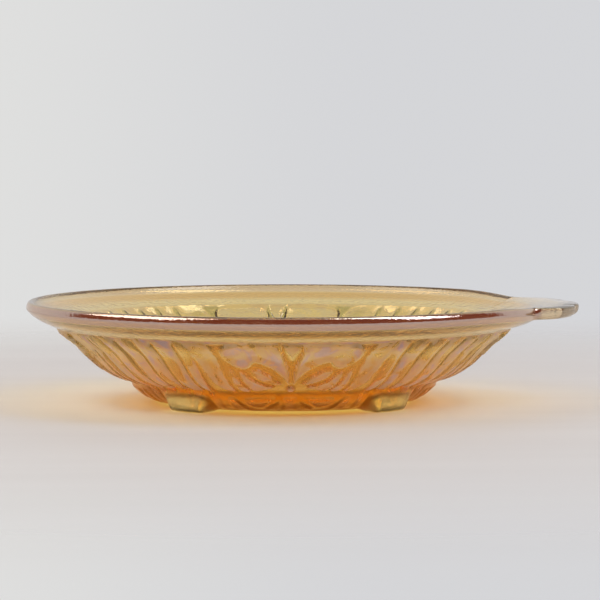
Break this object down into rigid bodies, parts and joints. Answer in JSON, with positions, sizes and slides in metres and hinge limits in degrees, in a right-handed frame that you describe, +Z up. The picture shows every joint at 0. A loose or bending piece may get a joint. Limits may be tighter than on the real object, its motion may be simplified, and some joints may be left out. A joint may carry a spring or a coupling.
{
  "type": "candy dish",
  "caption": "Shallow round footed candy dish in amber iridescent pressed glass, with a fluted and flower-moulded outside, a plain flanged rim and a flat tab handle.",
  "frame": {"origin": "on the surface that the feet stand on, at the centre of the dish's bounding box", "axes": "+X along the tab handle, +Z up through the open mouth, +Y to the back with the handle on the right"},
  "size_m": [0.178, 0.165, 0.0326],
  "materials": {
    "bowl_glass": "transparent amber glass with a fired iridescent lustre, satin on the moulded outside, glossy inside",
    "rim_glass": "glossy transparent amber glass with a pink and copper lustre",
    "handle_glass": "glossy transparent amber glass with a pink and violet lustre",
    "foot_glass": "transparent amber glass with a fired iridescent lustre"
  },
  "bodies": {
    "root": {"bowl": "bowl_glass", "rim_flange": "rim_glass", "tab_handle": "handle_glass", "foot_front_left": "foot_glass", "foot_front_right": "foot_glass", "foot_back_left": "foot_glass", "foot_back_right": "foot_glass"}
  },
  "joints": []
}
